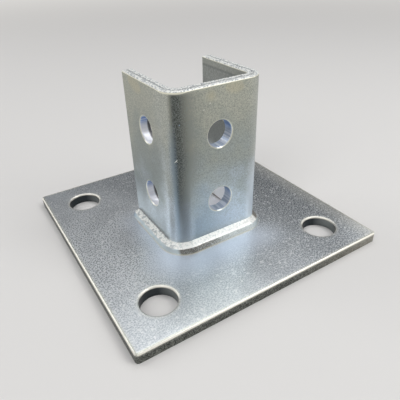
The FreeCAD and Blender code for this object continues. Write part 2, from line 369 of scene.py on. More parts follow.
@dataclass(frozen=True)
class PlateFinish:
    """Hot-rolled steel plate, sheared and punched, then bright zinc-plated.

    The rolled skin is finely pebbled, so it shows light grains, dark pits and sparkles. On it lie painted
    shade towards the back right, a painted highlight at the left and painted flecks of highlight. Shearing
    and punching draw it down towards each edge, and the zinc lies thick and smooth there, under a painted
    highlight that is brightest on the lips at the back of the anchor holes and along the right side. The
    sheared sides and punched walls are torn and dull, darkened with painted shade, with a painted
    highlight under the top edge and on the holes' right walls, and painted light towards the right. The
    heat of welding leaves a smooth bluish zone round the weld, painted lighter as a painted reflection of
    the web, and the socket's floor is painted light.
    """

    name: str = "zinc_plated_rolled_plate"

    # The top: a light skin and its grain, with painted shade towards the back right, a painted highlight at
    # the left, painted flecks of highlight and a painted sheen along the right side.
    # Real grains are about 0.3 mm; they are drawn coarser, because finer ones don't show.
    skin_dark: str = "#BFC6CB"
    skin_light: str = "#F1F4F5"
    pits_and_painted_shade: str = "#5A6268"
    painted_light_skin: str = "#F7FAFB"
    painted_glint: str = "#FBFCFC"
    grain: Pattern = Pattern(0.75 * MM, layers=2)
    pebble: Pattern = Pattern(0.75 * MM)
    flake: Pattern = Pattern(1.25 * MM)
    cloud: Pattern = Pattern(18 * MM, layers=3)
    light_grains: Ramp = Ramp(0.37, 0.63, last=0.9)
    dark_pits: Ramp = Ramp(0.5, 0.38, last=0.8)
    sparkles: Ramp = Ramp(0.58, 0.74, last=0.42)
    painted_glints: Ramp = Ramp(0.88, 0.96, last=0.55)
    clouds: Ramp = Ramp(0.38, 0.66, last=0.14)
    painted_shade_way: Place = (1.3, 0.7, 0.0)
    painted_shading: Ramp = Ramp(-65 * MM, 80 * MM)
    pits_where_shaded: float = 0.4
    left_middle: Place = (-72 * MM, 4 * MM, 6 * MM)
    left_light: Ramp = Ramp(78 * MM, 18 * MM, last=0.8)
    painted_right_sheen: Ramp = Ramp(62 * MM, 75 * MM, last=0.4)

    # Edges and rims of holes: drawn down by the tool over a width and a depth, with a crease beside the
    # rolled edge, and plated thick, under a painted highlight that is brightest on the back lips.
    rim_highlight: str = "#F8F6EC"
    painted_edge_highlight: str = "#FBF7EA"
    crease: str = "#A9A67E"
    drawn: Ramp = Ramp(3 * MM, 0.0)
    drawn_depth: float = 0.08 * MM
    drawn_steepness: float = 2.5
    border_steepness: float = 1.8
    border_strength: float = 0.65
    crease_inset: float = 0.8 * MM
    crease_half_width: float = 0.2 * MM
    crease_strength: float = 0.5
    edge_reach: Ramp = Ramp(0.5 * MM, 0.3 * MM)
    edge_height: Ramp = Ramp(4.9 * MM, 5.2 * MM)
    lip: Ramp = Ramp(1.3 * MM, 0.8 * MM)
    back_way: Place = (0.52, 0.85, 0.0)
    back_lip: Ramp = Ramp(0.0, 5 * MM, last=0.75)

    # Round the weld: the heat's zone, which lies to the left and in front and narrows beside the flange and
    # is painted lighter as a painted reflection, the lines along the weld's toe, and the socket's floor,
    # painted light
    heat_tint_and_painted_reflection: str = "#DCE5F0"
    toe_line: str = "#E9E1CE"
    end_line: str = "#E0C4B8"
    painted_light_socket_floor: str = "#FAFAFF"
    heat: Ramp = Ramp(25 * MM, 4 * MM, last=0.85)
    heat_narrowing: Ramp = Ramp(-34 * MM, -14 * MM, last=9 * MM)
    front_left: Ramp = Ramp(5 * MM, -30 * MM)
    toe: Ramp = Ramp(0.8 * MM, 0.2 * MM, last=0.4)
    free_end: Ramp = Ramp(-2 * MM, 14 * MM, last=0.9)
    behind_web: Ramp = Ramp(20 * MM, 2 * MM)

    # Sides and walls, darkened with painted shade, with a painted highlight under the top edge and painted
    # light towards the right. Real tears are about 0.2 mm; they are drawn coarser, because finer ones
    # don't show.
    sheared_dark: str = "#343734"
    sheared_light: str = "#92958F"
    sheared_painted_light: str = "#B4AE9F"
    punched: str = "#3D4346"
    punched_painted_highlight: str = "#A2A8A8"
    tear: Pattern = Pattern(0.55 * MM, layers=3)
    torn: Ramp = Ramp(0.4, 0.66)
    under_edge: Ramp = Ramp(3.6 * MM, 5.4 * MM, last=0.3)
    painted_light_right: Ramp = Ramp(15 * MM, 70 * MM, last=0.4)
    upright: Ramp = Ramp(0.55, 0.2)
    in_hole: Ramp = Ramp(0.8 * MM, 0.3 * MM)
    right_wall: Ramp = Ramp(4 * MM, 9.525 * MM, last=0.6)

    # Haze: where the plating is thick or pebbled it scatters light, and so isn't a plain mirror
    heat_haze: float = 0.36
    edge_haze: float = 0.6
    left_corner: Place = (-74 * MM, 66 * MM, 6 * MM)
    left_haze: Ramp = Ramp(75 * MM, 15 * MM, last=0.07)
    right_corner: Place = (74 * MM, -74 * MM, 6 * MM)
    right_haze: Ramp = Ramp(28 * MM, 3 * MM, last=0.7)
    metallic: Ramp = Ramp(0, 1, first=1.0, last=0.1)
    roughness: Ramp = Ramp(0, 1, first=0.38, last=0.47)
    relief: Ramp = Ramp(0, 1, first=0.022 * MM, last=0.004 * MM)

    def build(self, plate: AnchorPlate, weld: Box) -> bpy.types.Material:
        """Builds the material.

        Args:
            plate: the plate's sizes.
            weld: the weld's box.

        Returns:
            The finished material.
        """
        skin = PlateSkin(self.name, plate, weld)
        grains = skin.add("TexNoise", self.grain.on(skin.place))
        pebbles = skin.add("TexNoise", self.pebble.on(skin.place))
        nearest = skin.add("Math", {0: skin.from_edge, 1: skin.off_hole}, operation="MINIMUM")
        drawn = skin.add("MapRange", self.drawn.of(nearest))
        # The heat's zone is painted lighter as a painted reflection of the web.
        heated = self.lay_heat(skin)
        # Painted light: the socket's floor behind the web is painted near white.
        behind_web = skin.add("MapRange", self.behind_web.of(skin.y), **EASED)
        sheltered = skin.join(Join.OVERLAP, behind_web, skin.in_socket)
        edge, back_lip = self.lay_edges(skin)

        top = skin.paint(
            self.paint_grain(skin, grains, pebbles), (heated, self.heat_tint_and_painted_reflection), *self.toe_coats(skin),
            (sheltered, self.painted_light_socket_floor), *self.border_coats(skin, drawn),
        )
        upright = skin.add("MapRange", self.upright.of(skin.facing_up), **EASED)
        colour = skin.add("Mix", {0: upright, 6: top, 7: self.paint_side(skin)}, **COAT)
        # The punched walls: dark with painted shade, and a painted highlight on their right side.
        in_hole = skin.add("MapRange", self.in_hole.of(skin.off_hole))
        punched = skin.join(Join.OVERLAP, in_hole, upright)
        right_wall = skin.add("MapRange", self.right_wall.of(skin.across))
        painted_lit_wall = skin.join(Join.OVERLAP, punched, right_wall)
        # Painted highlights on the upper edge and on the lips at the back of the anchor holes.
        colour = skin.paint(
            colour, (punched, self.punched), (painted_lit_wall, self.punched_painted_highlight), (edge, self.painted_edge_highlight),
            (back_lip, self.painted_edge_highlight),
        )

        haze = skin.join(
            Join.STRONGEST, sheltered, back_lip,
            skin.join(Join.OVERLAP, heated, self.heat_haze),
            skin.join(Join.OVERLAP, edge, self.edge_haze),
            skin.zone(self.left_corner, self.left_haze),
            skin.zone(self.right_corner, self.right_haze),
            skin.add("MapRange", self.sparkles.of(pebbles)),
        )
        metallic = skin.add("MapRange", self.metallic.of(haze))
        roughness = skin.add("MapRange", self.roughness.of(heated))
        sunk = skin.add("Math", {0: drawn, 1: self.drawn_steepness}, operation="POWER")
        smooth = skin.join(Join.STRONGEST, sunk, heated)
        coarseness = skin.add("MapRange", self.relief.of(smooth))
        relief = skin.add("Math", {0: grains, 1: coarseness}, operation="MULTIPLY")
        height = skin.add("Math", {0: sunk, 1: -self.drawn_depth, 2: relief}, operation="MULTIPLY_ADD")
        return skin.finish(colour, roughness, height, metallic)

    def lay_heat(self, skin: PlateSkin) -> Value:
        """A mask for the zone that the weld's heat has smoothed and tinted, and that is painted lighter as a
        painted reflection.

        Args:
            skin: the material that is being written.

        Returns:
            The mask.
        """
        narrowing = skin.add("MapRange", self.heat_narrowing.of(skin.y), **EASED)
        distance = skin.add("Math", {0: skin.beyond_weld, 1: narrowing}, operation="ADD")
        around = skin.add("MapRange", self.heat.of(distance), **EASED)
        diagonal = skin.add("Math", {0: skin.x, 1: skin.y}, operation="ADD")
        front_left = skin.add("MapRange", self.front_left.of(diagonal), **EASED)
        return skin.join(Join.OVERLAP, around, front_left)

    def lay_edges(self, skin: PlateSkin) -> tuple[Value, Value]:
        """Masks for what the tool has rolled over, where a highlight is painted.

        Args:
            skin: the material that is being written.

        Returns:
            The mask of the plate's upper edge, and that of the lips at the back of the anchor holes.
        """
        outmost = skin.add("MapRange", self.edge_reach.of(skin.from_edge))
        upmost = skin.add("MapRange", self.edge_height.of(skin.z))
        ways = {0: skin.from_hole, 1: self.back_way}
        backward = skin.add("VectorMath", ways, "Value", operation="DOT_PRODUCT")
        at_back = skin.add("MapRange", self.back_lip.of(backward), **EASED)
        lip = skin.add("MapRange", self.lip.of(skin.off_hole))
        return skin.join(Join.OVERLAP, outmost, upmost), skin.join(Join.OVERLAP, lip, at_back, upmost)

    def paint_grain(self, skin: PlateSkin, grains: Socket, pebbles: Socket) -> Value:
        """Paints the rolled skin with its light grains, dark pits and clouds, painted flecks of highlight,
        painted shade towards the back right and a painted highlight at the left.

        Args:
            skin: the material that is being written.
            grains: the pattern of the light grains.
            pebbles: the pattern of the pits.

        Returns:
            The skin's colour.
        """
        # Painted shade: the skin is darkened along this way, towards the back right.
        backward = skin.add("VectorMath", {0: skin.place, 1: self.painted_shade_way}, "Value", operation="DOT_PRODUCT")
        dull = skin.add("MapRange", self.painted_shading.of(backward))
        light = skin.add("MapRange", self.light_grains.of(grains))
        # Painted highlight: the skin is made lighter round the middle of the left side.
        at_left = skin.zone(self.left_middle, self.left_light)
        pits_where_shaded = skin.join(Join.OVERLAP, dull, self.pits_where_shaded)
        pitted_zone = skin.join(Join.STRONGEST, at_left, pits_where_shaded)
        pits = skin.join(Join.OVERLAP, skin.add("MapRange", self.dark_pits.of(pebbles)), pitted_zone)
        clouds = skin.add("TexNoise", self.cloud.on(skin.place))
        cloudy = skin.add("MapRange", self.clouds.of(clouds), **EASED)
        # Painted flecks of highlight, laid as colour.
        flakes = skin.add("TexVoronoi", self.flake.on(skin.place), "Color")
        flake_shade = skin.add("SeparateXYZ", {0: flakes}, 0)
        painted_glints = skin.add("MapRange", self.painted_glints.of(flake_shade))
        # Painted sheen: the edge highlight's colour laid along the right side.
        at_right = skin.add("MapRange", self.painted_right_sheen.of(skin.x), **EASED)
        return skin.paint(
            srgb(self.skin_dark), (dull, self.pits_and_painted_shade), (light, self.skin_light), (at_left, self.painted_light_skin),
            (pits, self.pits_and_painted_shade), (cloudy, self.pits_and_painted_shade), (painted_glints, self.painted_glint), (at_right, self.rim_highlight),
        )

    def toe_coats(self, skin: PlateSkin) -> list[tuple[Value, str]]:
        """The lines of colour along the weld's toe, one of them only round its free end.

        Args:
            skin: the material that is being written.

        Returns:
            A coat for each line.
        """
        toe = skin.band(skin.beyond_weld, 0.0, self.toe)
        at_end = skin.add("MapRange", self.free_end.of(skin.y), **EASED)
        return [(toe, self.toe_line), (skin.join(Join.OVERLAP, toe, at_end), self.end_line)]

    def border_coats(self, skin: PlateSkin, drawn: Value) -> list[tuple[Value, str]]:
        """The painted highlight along the edges and holes, and the crease beside the rolled edge.

        Args:
            skin: the material that is being written.
            drawn: how far the surface is drawn down, 0 to 1.

        Returns:
            A coat for each of the two.
        """
        fading = skin.add("Math", {0: drawn, 1: self.border_steepness}, operation="POWER")
        border = skin.join(Join.OVERLAP, fading, self.border_strength)
        in_crease = skin.add(
            "Math", {0: skin.from_edge, 1: self.crease_inset, 2: self.crease_half_width}, operation="COMPARE",
        )
        crease = skin.join(Join.OVERLAP, in_crease, self.crease_strength)
        return [(border, self.rim_highlight), (crease, self.crease)]

    def paint_side(self, skin: PlateSkin) -> Value:
        """Paints the sheared sides, darkened with painted shade, with a painted highlight under the top edge
        and painted light towards the right.

        Args:
            skin: the material that is being written.

        Returns:
            The sides' colour.
        """
        tears = skin.add("TexNoise", self.tear.on(skin.place))
        torn = skin.add("MapRange", self.torn.of(tears))
        # Painted highlight under the top edge, and painted light towards the right.
        under_edge = skin.add("MapRange", self.under_edge.of(skin.z), **EASED)
        painted_light_right = skin.add("MapRange", self.painted_light_right.of(skin.x))
        return skin.paint(
            srgb(self.sheared_dark), (torn, self.sheared_light), (painted_light_right, self.sheared_painted_light),
            (under_edge, self.rim_highlight),
        )


@dataclass(frozen=True)
class Mark:
    """One mark of handling or plating: its two ends and its width in millimetres, and its look."""

    start: Place
    end: Place
    width: float
    colour: str
    strength: float


GOLD = "#D8CB9E"
PALE = "#EFF0EA"
BLUE = "#9FB3CC"

STIRRUP_MARKS = (
    Mark((-5.1, -28.15, 89.9), (-5.1, -28.15, 89.9), 9.0, GOLD, 0.22),
    Mark((4.0, -28.15, 92.5), (13.0, -28.15, 91.0), 9.0, GOLD, 0.2),
    Mark((-28.15, 14.0, 92.6), (-28.15, 1.0, 90.0), 11.0, GOLD, 0.22),
    Mark((-5.8, -28.15, 86.5), (-5.8, -28.15, 86.5), 1.0, PALE, 0.9),
    Mark((-9.3, -28.15, 83.9), (-9.3, -28.15, 83.9), 1.0, PALE, 0.8),
    Mark((-25.3, -25.4, 59.6), (-24.1, -26.4, 61.3), 0.5, PALE, 0.9),
    Mark((-24.6, -26.0, 60.9), (-24.2, -26.3, 59.8), 0.4, PALE, 0.7),
    Mark((-22.5, -27.3, 79.1), (-22.5, -27.3, 79.1), 1.0, BLUE, 0.8),
    Mark((-28.15, 13.3, 39.0), (-28.15, 10.6, 34.9), 0.6, PALE, 0.6),
)


@dataclass
class StrutStirrup:
    """The strip bent to a U, with its bolt holes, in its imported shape."""

    box: Box
    hole_radius: float
    hole_heights: tuple[float, float]
    flange_hole_y: float
    wall: float = 6 * MM
    bend_radius: float = 9.5 * MM

    def dress(self) -> None:
        """Gives the stirrup its finish."""
        Node.STIRRUP.dress(StirrupFinish().build(self))


class StirrupSkin(ZincSkin):
    """The stirrup's plating, with where each place lies on the strip.

    The places are measured up from the foot and down from the top, in metres, and as a share of the
    height (rise); behind the outer face (depth) and before the inner one (from_inside); from the right
    face; round the left bend (turned), 0 where it leaves the flange and 1 where it meets the web; and from
    the nearest bolt hole's centre and rim.
    """

    def __init__(self, name: str, stirrup: StrutStirrup) -> None:
        """Measures the stirrup.

        Args:
            name: the material's name.
            stirrup: the stirrup's sizes.
        """
        super().__init__(name)
        low, high = stirrup.box
        bend_radius = stirrup.bend_radius
        self.over_foot = self.add("Math", {0: self.z, 1: low.z}, operation="SUBTRACT")
        self.under_top = self.add("Math", {0: high.z, 1: self.z}, operation="SUBTRACT")
        self.rise = self.add("Math", {0: self.over_foot, 1: high.z - low.z}, operation="DIVIDE")
        self.from_right = self.add("Math", {0: high.x, 1: self.x}, operation="SUBTRACT")
        bend_start = low.y + bend_radius
        self.in_flange = self.add("Math", {0: self.y, 1: bend_start}, operation="GREATER_THAN")
        self.depth, self.turned = self.measure_strip(high.x - bend_radius, bend_start, bend_radius)
        self.from_inside = self.add("Math", {0: stirrup.wall, 1: self.depth}, operation="SUBTRACT")
        self.measure_holes(stirrup)

    def measure_strip(self, axis_x: float, axis_y: float, bend_radius: float) -> tuple[Socket, Socket]:
        """How far a place lies behind the strip's outer face, and how far round the left bend.

        Args:
            axis_x: how far the bends' axes lie from the middle.
            axis_y: where they lie along Y.
            bend_radius: the outer radius of the bends.

        Returns:
            The depth in metres, and the turn.
        """
        side = self.add("Math", {0: self.x}, operation="ABSOLUTE")
        forward = self.add("Math", {0: axis_y, 1: self.y}, operation="SUBTRACT")
        outward = self.add("Math", {0: side, 1: axis_x}, operation="SUBTRACT")
        plan = self.add("CombineXYZ", {0: outward, 1: forward})
        past = self.add("VectorMath", {0: plan, 1: (0.0, 0.0, 0.0)}, operation="MAXIMUM")
        round_part = self.add("VectorMath", {0: past}, "Value", operation="LENGTH")
        farthest = self.add("Math", {0: outward, 1: forward}, operation="MAXIMUM")
        flat_part = self.add("Math", {0: farthest, 1: 0.0}, operation="MINIMUM")
        reach = self.add("Math", {0: round_part, 1: flat_part}, operation="ADD")
        depth = self.add("Math", {0: bend_radius, 1: reach}, operation="SUBTRACT")
        leftward = self.add("Math", {0: -axis_x, 1: self.x}, operation="SUBTRACT")
        angle = self.add("Math", {0: forward, 1: leftward}, operation="ARCTAN2")
        return depth, self.add("Math", {0: angle, 1: QUARTER_TURN}, operation="DIVIDE")

    def measure_holes(self, stirrup: StrutStirrup) -> None:
        """Where a place lies as seen from the centre of the nearest bolt hole.

        Args:
            stirrup: the stirrup's sizes.
        """
        low, high = stirrup.hole_heights
        half_pitch = (high - low) / 2
        above_low = self.add("Math", {0: self.z, 1: low}, operation="SUBTRACT")
        up = self.add("Math", {0: above_low, 1: half_pitch, 2: -half_pitch}, operation="WRAP")
        along = self.add("Math", {0: self.y, 1: stirrup.flange_hole_y}, operation="SUBTRACT")
        across = self.add("Mix", {0: self.in_flange, 2: self.x, 3: along})
        self.from_hole = self.add("CombineXYZ", {0: across, 1: up})
        radius = self.add("VectorMath", {0: self.from_hole}, "Value", operation="LENGTH")
        self.off_hole = self.add("Math", {0: radius, 1: stirrup.hole_radius}, operation="SUBTRACT")
        self.up_hole = self.add("Math", {0: up, 1: stirrup.hole_radius}, operation="DIVIDE")


@dataclass(frozen=True)
class StirrupFinish:
    """Steel strip, sheared, bent on a press brake and punched, then zinc-plated and passivated.

    The flat faces are satin with a fine grain, with a faint olive tint at the top and a cool one lower
    down. A painted dark reflection runs down the left bend, and painted highlights, painted light and
    painted shade lie on the flanges, the web and the inner faces, with painted highlights on the rolled
    rims. The sheared top edge is coarse, with a line where cutting ended and tearing began. The punched
    walls are glossy, with painted reflections, blue above and white below, and painted shade on a dark lip
    inside the flanges.
    """

    name: str = "zinc_plated_bent_strip"

    # Real grain is about 0.2 mm, and the tears of a sheared edge are about 0.3 mm. Both are drawn at more
    # than twice that, because finer ones don't show.
    grain: Pattern = Pattern(0.45 * MM, layers=2)
    cloud: Pattern = Pattern(13 * MM, layers=3)
    crag: Pattern = Pattern(0.8 * MM, layers=4)

    # Tints of the outer faces, by height, which the clouds shift a little; a band of painted shade at
    # mid-height; and the speckles, whose colour is also the flange's painted shade
    warm: str = "#BFC0B3"
    cool: str = "#C2CED9"
    mid_painted_shade: str = "#8A9898"
    shade: str = "#888E8A"
    drift: Ramp = Ramp(0.3, 0.7, first=-0.14, last=0.14)
    cooling: Ramp = Ramp(0.8, 0.2)
    painted_shade_middle: float = 0.55
    mid_shade_fade: Ramp = Ramp(0.36, 0.05, last=0.36)
    speckles: Ramp = Ramp(0.62, 0.36)
    speckling: Ramp = Ramp(0.0, 0.5, first=0.35, last=0.75)

    # The left flange: a painted highlight along the run before the bend, painted light at the foot and
    # painted shade lower on the flange
    painted_highlight: str = "#DDE0DD"
    painted_light_foot: str = "#DDE7F0"
    lit_side: Ramp = Ramp(-0.75, 0.12, last=0.34)
    lit_end: Ramp = Ramp(0.5, 0.32)
    dull_below: Ramp = Ramp(0.8, 0.5)
    dull_above: Ramp = Ramp(0.0, 0.35, first=0.55)
    painted_shade_flange: Ramp = Ramp(0.1, -0.35, last=0.5)
    foot: Ramp = Ramp(0.5, 0.12)

    # The left bend: a painted dark reflection down it, which narrows upwards and fades round to the web,
    # and the blue line along its brink
    painted_dark_reflection: str = "#2C3133"
    brink: str = "#7890A6"
    narrowing: Ramp = Ramp(0.0, 0.6, first=0.5, last=0.0)
    reflection_fade: Ramp = Ramp(1.9, 0.72, last=0.96)
    reflection_steepness: float = 2.0
    reflection_start: Ramp = Ramp(0.35, 0.58)
    reflection_height: Ramp = Ramp(0.0, 0.4, first=0.85)
    reflection_top: Ramp = Ramp(0.8 * MM, 2.2 * MM, first=0.3)
    brink_turn: float = 0.45
    brink_width: Ramp = Ramp(0.2, 0.03, last=0.34)
    brink_middle: float = 0.45
    brink_height: Ramp = Ramp(0.45, 0.2)

    # The web: painted shade at its foot on the left, a painted highlight along its right edge and painted
    # light at the right bend's foot
    painted_shade_foot: str = "#627986"
    painted_light_bend: str = "#DCE8F2"
    leftward: Ramp = Ramp(14 * MM, -16 * MM, last=0.55)
    on_web: Ramp = Ramp(0.9, 1.2)
    right_edge: Ramp = Ramp(13 * MM, 2 * MM, last=0.5)
    glow_side: Ramp = Ramp(12 * MM, 5 * MM)
    glow_front: Ramp = Ramp(-8 * MM, -17 * MM)
    glow_foot: Ramp = Ramp(50 * MM, 22 * MM)

    # The inner faces: blotched, with painted shade further down and painted light at the foot, a stain in
    # the joint, and a painted reflection near the top: a light band over a faint dark line
    inner: str = "#ABAFAC"
    inner_dark: str = "#7B7F7C"
    inner_painted_shade: str = "#5F6363"
    inner_painted_light: str = "#FBFDFF"
    stain: str = "#7A5B3C"
    blotch: Pattern = Pattern(0.9 * MM, layers=2)
    blotches: Ramp = Ramp(0.3, 0.7, first=0.3, last=0.8)
    inside: Ramp = Ramp(0.7 * MM, 0.3 * MM)
    inner_depth: Ramp = Ramp(10 * MM, 28 * MM, last=0.55)
    near_foot: Ramp = Ramp(42 * MM, 22 * MM)
    painted_reflection_band: Ramp = Ramp(4.2 * MM, 3.4 * MM, last=0.2)
    painted_reflection_line: float = 4.4 * MM
    painted_reflection_line_width: Ramp = Ramp(1.0 * MM, 0.3 * MM, last=0.3)
    at_joint: Ramp = Ramp(0.9 * MM, 0.6 * MM)

    # Bolt holes: a painted highlight on their rims, and their glossy walls, with painted reflections, blue
    # above and white below, painted shade on the dark lip, and darker in the lower web hole
    rim_highlight: str = "#F3F1DF"
    flange_hole_top: str = "#6C98DC"
    flange_hole_foot: str = "#FBFBFF"
    flange_streak: str = "#EEF2F8"
    web_hole_top: str = "#4F78B8"
    web_hole_foot: str = "#DCE3EE"
    web_streak: str = "#8A9FBC"
    web_low_hole: str = "#8497AB"
    lip: str = "#2E2A2C"
    hole_rim: Ramp = Ramp(0.9 * MM, 0.5 * MM, last=0.6)
    hole_wall: Ramp = Ramp(0.2 * MM, 0.1 * MM)
    high_in_hole: Ramp = Ramp(-0.2, 0.5)
    low_hole: Ramp = Ramp(44 * MM, 40 * MM, last=0.25)
    streak: Pattern = Pattern(1.3 * MM, layers=2)
    streaks: Ramp = Ramp(0.4, 0.65, last=0.7)
    dark_lip: Ramp = Ramp(2.2 * MM, 1.2 * MM, last=0.9)

    # The sheared top edge: rolled over outside, widest on the bend, with a painted highlight on the roll,
    # and torn, with the cut's wavy end line
    cut_light: str = "#F2F3EE"
    cut_dark: str = "#9CA2A6"
    cut_line: str = "#50565C"
    bend_middle: float = 0.5
    roll_width: Ramp = Ramp(0.7, 0.2, first=0.9 * MM, last=1.5 * MM)
    rolled: Ramp = Ramp(1.0, 0.6)
    cut: Ramp = Ramp(0.56 * MM, 0.26 * MM)
    torn: Ramp = Ramp(0.4, 0.52)
    waviness: Ramp = Ramp(0.3, 0.7, first=-0.6 * MM, last=0.6 * MM)
    line_depth: float = 3 * MM
    line_half_width: float = 0.5 * MM
    line_strength: float = 0.55

    # Haze and relief
    glow_haze: float = 0.75
    wall_haze: Ramp = Ramp(0, 1, first=0.35, last=0.85)
    metallic: Ramp = Ramp(0, 1, first=1.0, last=0.15)
    roughness: Ramp = Ramp(0, 1, first=0.4, last=0.36)
    fine_relief: Ramp = Ramp(0, 1, first=0.012 * MM, last=0.002 * MM)
    coarse_relief: Ramp = Ramp(0, 1, last=0.07 * MM)

    def build(self, stirrup: StrutStirrup) -> bpy.types.Material:
        """Builds the material.

        Args:
            stirrup: the stirrup's sizes.

        Returns:
            The finished material.
        """
        skin = StirrupSkin(self.name, stirrup)
        grains = skin.add("TexNoise", self.grain.on(skin.place))
        crags = skin.add("TexNoise", self.crag.on(skin.place))
        # Painted light: the foot of the right bend is made bright and hazy.
        glow = skin.join(
            Join.OVERLAP,
            skin.add("MapRange", self.glow_side.of(skin.from_right), **EASED),
            skin.add("MapRange", self.glow_front.of(skin.y), **EASED),
            skin.add("MapRange", self.glow_foot.of(skin.over_foot), **EASED),
        )
        inside = skin.add("MapRange", self.inside.of(skin.from_inside))
        near_foot = skin.add("MapRange", self.near_foot.of(skin.over_foot), **EASED)
        hole_rim = skin.add("MapRange", self.hole_rim.of(skin.off_hole))
        hole_wall = skin.add("MapRange", self.hole_wall.of(skin.off_hole))
        on_cut = skin.add("MapRange", self.cut.of(skin.under_top), **EASED)

        outer = self.paint_outer(skin, grains, glow)
        inner = self.paint_inner(skin, near_foot)
        colour = skin.add("Mix", {0: inside, 6: outer, 7: inner}, **COAT)
        # Painted highlights on the holes' rims and on the rolled top.
        colour = skin.paint(colour, (hole_rim, self.rim_highlight))
        colour = skin.add("Mix", {0: hole_wall, 6: colour, 7: self.paint_holes(skin)}, **COAT)
        colour = skin.paint(colour, (self.lay_rolled_top(skin), self.rim_highlight))
        colour = skin.add("Mix", {0: on_cut, 6: colour, 7: self.paint_cut(skin, crags)}, **COAT)

        wall_haze = skin.add("MapRange", self.wall_haze.of(skin.in_flange))
        haze = skin.join(
            Join.STRONGEST, on_cut,
            skin.join(Join.OVERLAP, inside, near_foot),
            skin.join(Join.OVERLAP, hole_wall, wall_haze),
            skin.join(Join.OVERLAP, glow, self.glow_haze),
        )
        metallic = skin.add("MapRange", self.metallic.of(haze))
        smooth = skin.join(Join.STRONGEST, hole_rim, hole_wall)
        roughness = skin.add("MapRange", self.roughness.of(smooth))
        fine = skin.add("MapRange", self.fine_relief.of(smooth))
        relief = skin.add("Math", {0: grains, 1: fine}, operation="MULTIPLY")
        coarse = skin.add("MapRange", self.coarse_relief.of(on_cut))
        height = skin.add("Math", {0: crags, 1: coarse, 2: relief}, operation="MULTIPLY_ADD")
        return skin.finish(colour, roughness, height, metallic)

    def paint_outer(self, skin: StirrupSkin, grains: Socket, glow: Value) -> Value:
        """Paints the outer faces and the marks on them, with their painted light and shade.

        Args:
            skin: the material that is being written.
            grains: the pattern of the speckles.
            glow: the mask of the painted light at the foot of the right bend.

        Returns:
            The outer faces' colour.
        """
        clouds = skin.add("TexNoise", self.cloud.on(skin.place))
        drift = skin.add("MapRange", self.drift.of(clouds))
        height = skin.add("Math", {0: skin.rise, 1: drift}, operation="ADD")
        cool = skin.add("MapRange", self.cooling.of(height), **EASED)
        # Painted shade: a darker band at mid-height.
        mid_painted_shade = skin.band(height, self.painted_shade_middle, self.mid_shade_fade)
        at_foot = skin.add("MapRange", self.foot.of(height), **EASED)
        lit_end = skin.add("MapRange", self.lit_end.of(skin.turned), **EASED)
        painted_highlight = skin.join(Join.OVERLAP, skin.add("MapRange", self.lit_side.of(skin.turned), **EASED), lit_end)
        painted_shade_flange = skin.join(
            Join.OVERLAP,
            skin.add("MapRange", self.dull_below.of(height), **EASED),
            skin.add("MapRange", self.dull_above.of(height), **EASED),
            skin.add("MapRange", self.painted_shade_flange.of(skin.turned), **EASED),
        )
        right_edge = skin.add("MapRange", self.right_edge.of(skin.from_right), **EASED)
        low_web = skin.join(
            Join.OVERLAP, at_foot,
            skin.add("MapRange", self.leftward.of(skin.x), **EASED),
            skin.add("MapRange", self.on_web.of(skin.turned)),
        )
        speckled = skin.join(
            Join.OVERLAP,
            skin.add("MapRange", self.speckles.of(grains)),
            skin.add("MapRange", self.speckling.of(skin.rise)),
        )
        brink = skin.join(
            Join.OVERLAP,
            skin.band(skin.turned, self.brink_turn, self.brink_width),
            skin.band(skin.rise, self.brink_middle, self.brink_height),
        )
        # Painted light and shade: highlights, bright feet, shade low and at mid-height, and the bend's dark
        # reflection.
        face = skin.paint(
            srgb(self.warm), (cool, self.cool), (mid_painted_shade, self.mid_painted_shade), (painted_highlight, self.painted_highlight), (right_edge, self.painted_highlight),
            (skin.join(Join.OVERLAP, at_foot, lit_end), self.painted_light_foot), (low_web, self.painted_shade_foot),
            (painted_shade_flange, self.shade), (self.lay_painted_reflection(skin), self.painted_dark_reflection), (speckled, self.shade),
            (glow, self.painted_light_bend), (brink, self.brink),
        )
        for mark in STIRRUP_MARKS:
            spot = skin.stroke(mark.start, mark.end, mark.width)
            face = skin.paint(face, (skin.join(Join.OVERLAP, spot, mark.strength), mark.colour))
        return face

    def lay_painted_reflection(self, skin: StirrupSkin) -> Value:
        """A mask for the painted dark reflection down the left bend.

        Args:
            skin: the material that is being written.

        Returns:
            The mask.
        """
        # Painted dark reflection: darkest just past the bend, narrowing upwards.
        narrowing = skin.add("MapRange", self.narrowing.of(skin.rise))
        turned = skin.add("Math", {0: skin.turned, 1: narrowing}, operation="ADD")
        fading = skin.add("MapRange", self.reflection_fade.of(turned))
        return skin.join(
            Join.OVERLAP,
            skin.add("Math", {0: fading, 1: self.reflection_steepness}, operation="POWER"),
            skin.add("MapRange", self.reflection_start.of(skin.turned), **EASED),
            skin.add("MapRange", self.reflection_height.of(skin.rise)),
            skin.add("MapRange", self.reflection_top.of(skin.under_top), **EASED),
        )

    def paint_inner(self, skin: StirrupSkin, near_foot: Socket) -> Value:
        """Paints the inner faces, with painted shade further down, painted light at the foot and a painted
        reflection near the top.

        Args:
            skin: the material that is being written.
            near_foot: the mask of their foot.

        Returns:
            The inner faces' colour.
        """
        blotches = skin.add("TexNoise", self.blotch.on(skin.place))
        blotched = skin.add("MapRange", self.blotches.of(blotches))
        deep = skin.add("MapRange", self.inner_depth.of(skin.under_top), **EASED)
        painted_reflection_band = skin.add("MapRange", self.painted_reflection_band.of(skin.under_top), **EASED)
        line = skin.band(skin.under_top, self.painted_reflection_line, self.painted_reflection_line_width)
        at_joint = skin.add("MapRange", self.at_joint.of(skin.over_foot))
        # Painted shade lower down, painted light at the foot and a painted reflection near the top.
        return skin.paint(
            srgb(self.inner), (blotched, self.inner_dark), (deep, self.inner_painted_shade),
            (near_foot, self.inner_painted_light), (painted_reflection_band, self.warm), (line, self.inner_painted_shade),
            (at_joint, self.stain),
        )

